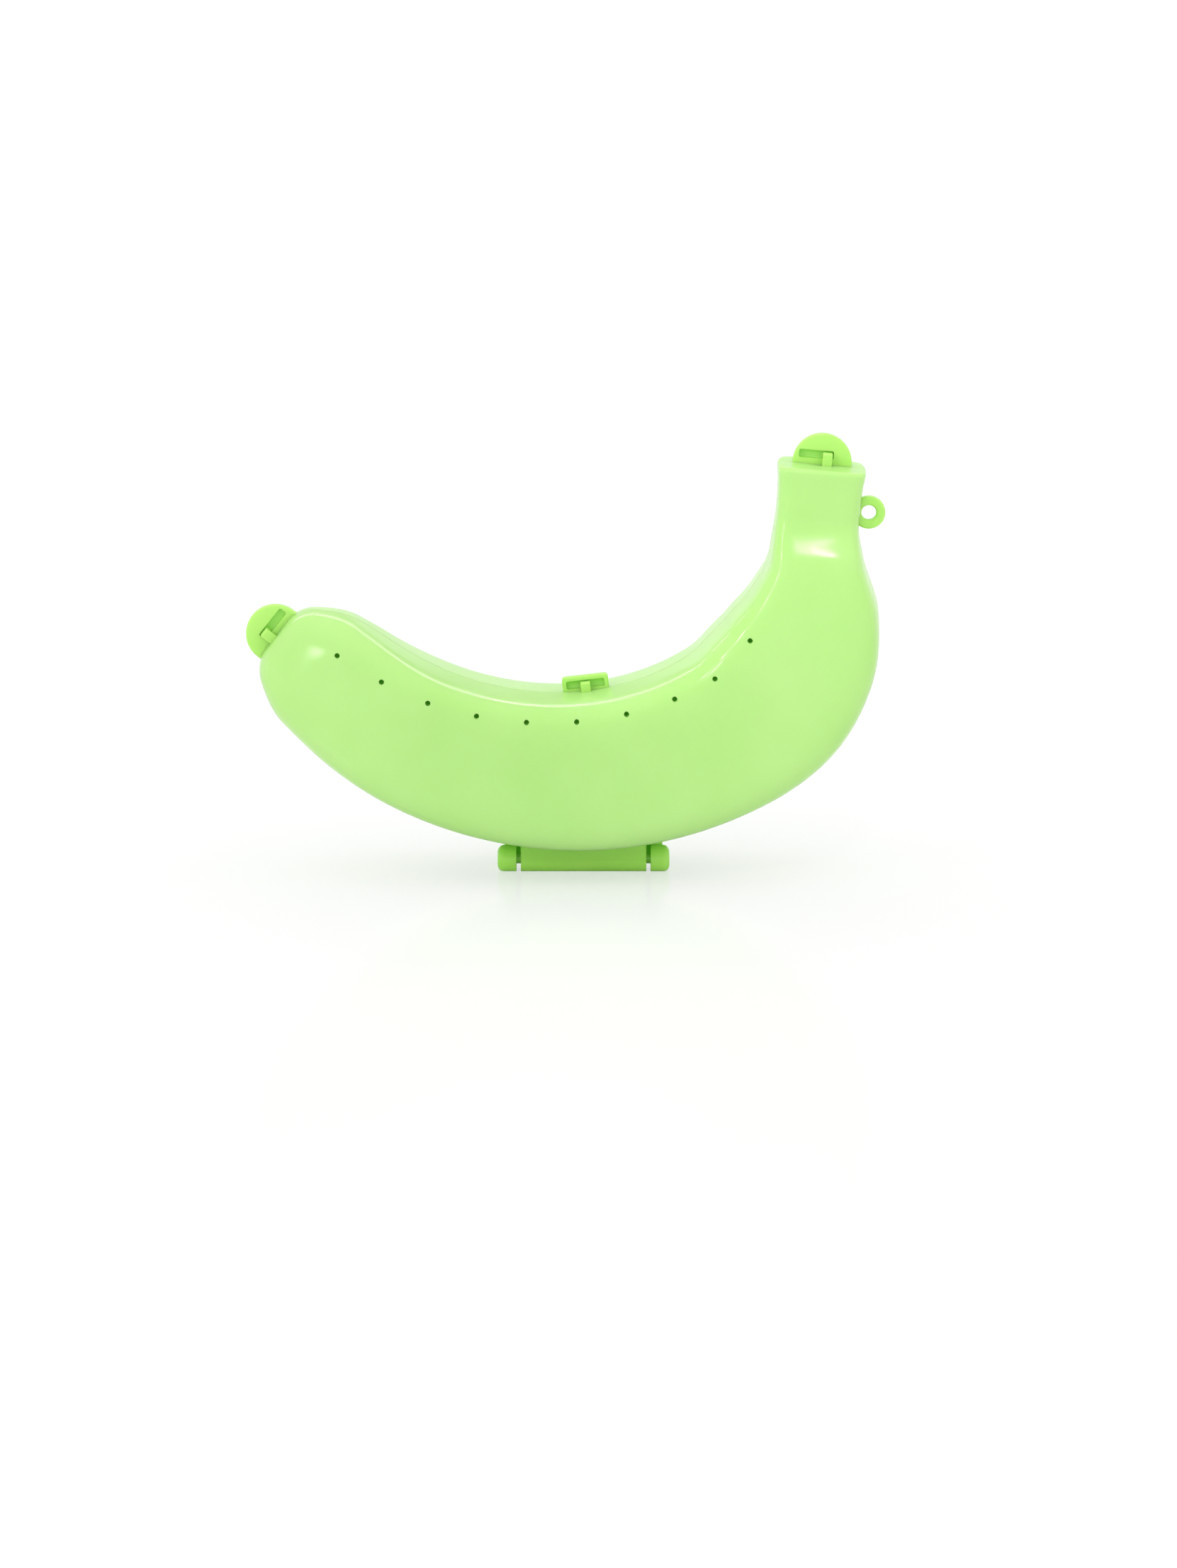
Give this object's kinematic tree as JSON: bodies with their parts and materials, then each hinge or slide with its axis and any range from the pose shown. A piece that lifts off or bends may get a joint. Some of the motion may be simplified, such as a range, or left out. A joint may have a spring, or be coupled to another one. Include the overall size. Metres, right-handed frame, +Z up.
{
  "type": "banana carrying case",
  "caption": "Banana-shaped clamshell carrying case in glossy plastic, hinged under the belly, with snap tabs, a row of vent holes and a key loop.",
  "frame": {"origin": "middle of the flat underside of the hinge, on which the closed case stands", "axes": "+Z up, +X from the tip towards the stem, -Y towards the front half; the parting plane is y = 0 and the hinge axis runs along +X"},
  "size_m": [0.1942, 0.05, 0.1355],
  "materials": {
    "lime_plastic": "glossy lime-green polypropylene, slightly translucent"
  },
  "bodies": {
    "rear_half": {"rear_shell": "lime_plastic", "left_rear_knuckle": "lime_plastic", "right_rear_knuckle": "lime_plastic", "hinge_pin": "lime_plastic", "stem_finger_tab": "lime_plastic", "tip_finger_tab": "lime_plastic", "latch_keeper": "lime_plastic", "key_loop": "lime_plastic"},
    "front_half": {"front_shell": "lime_plastic", "front_knuckle": "lime_plastic", "stem_catch": "lime_plastic", "tip_catch": "lime_plastic", "inner_catch": "lime_plastic"}
  },
  "joints": [
    {"name": "front_half_hinge", "type": "hinge", "parent": "rear_half", "child": "front_half", "pos_m": [0, 0, 0.0036], "axis": [1, 0, 0], "range_deg": [0, 180]}
  ]
}
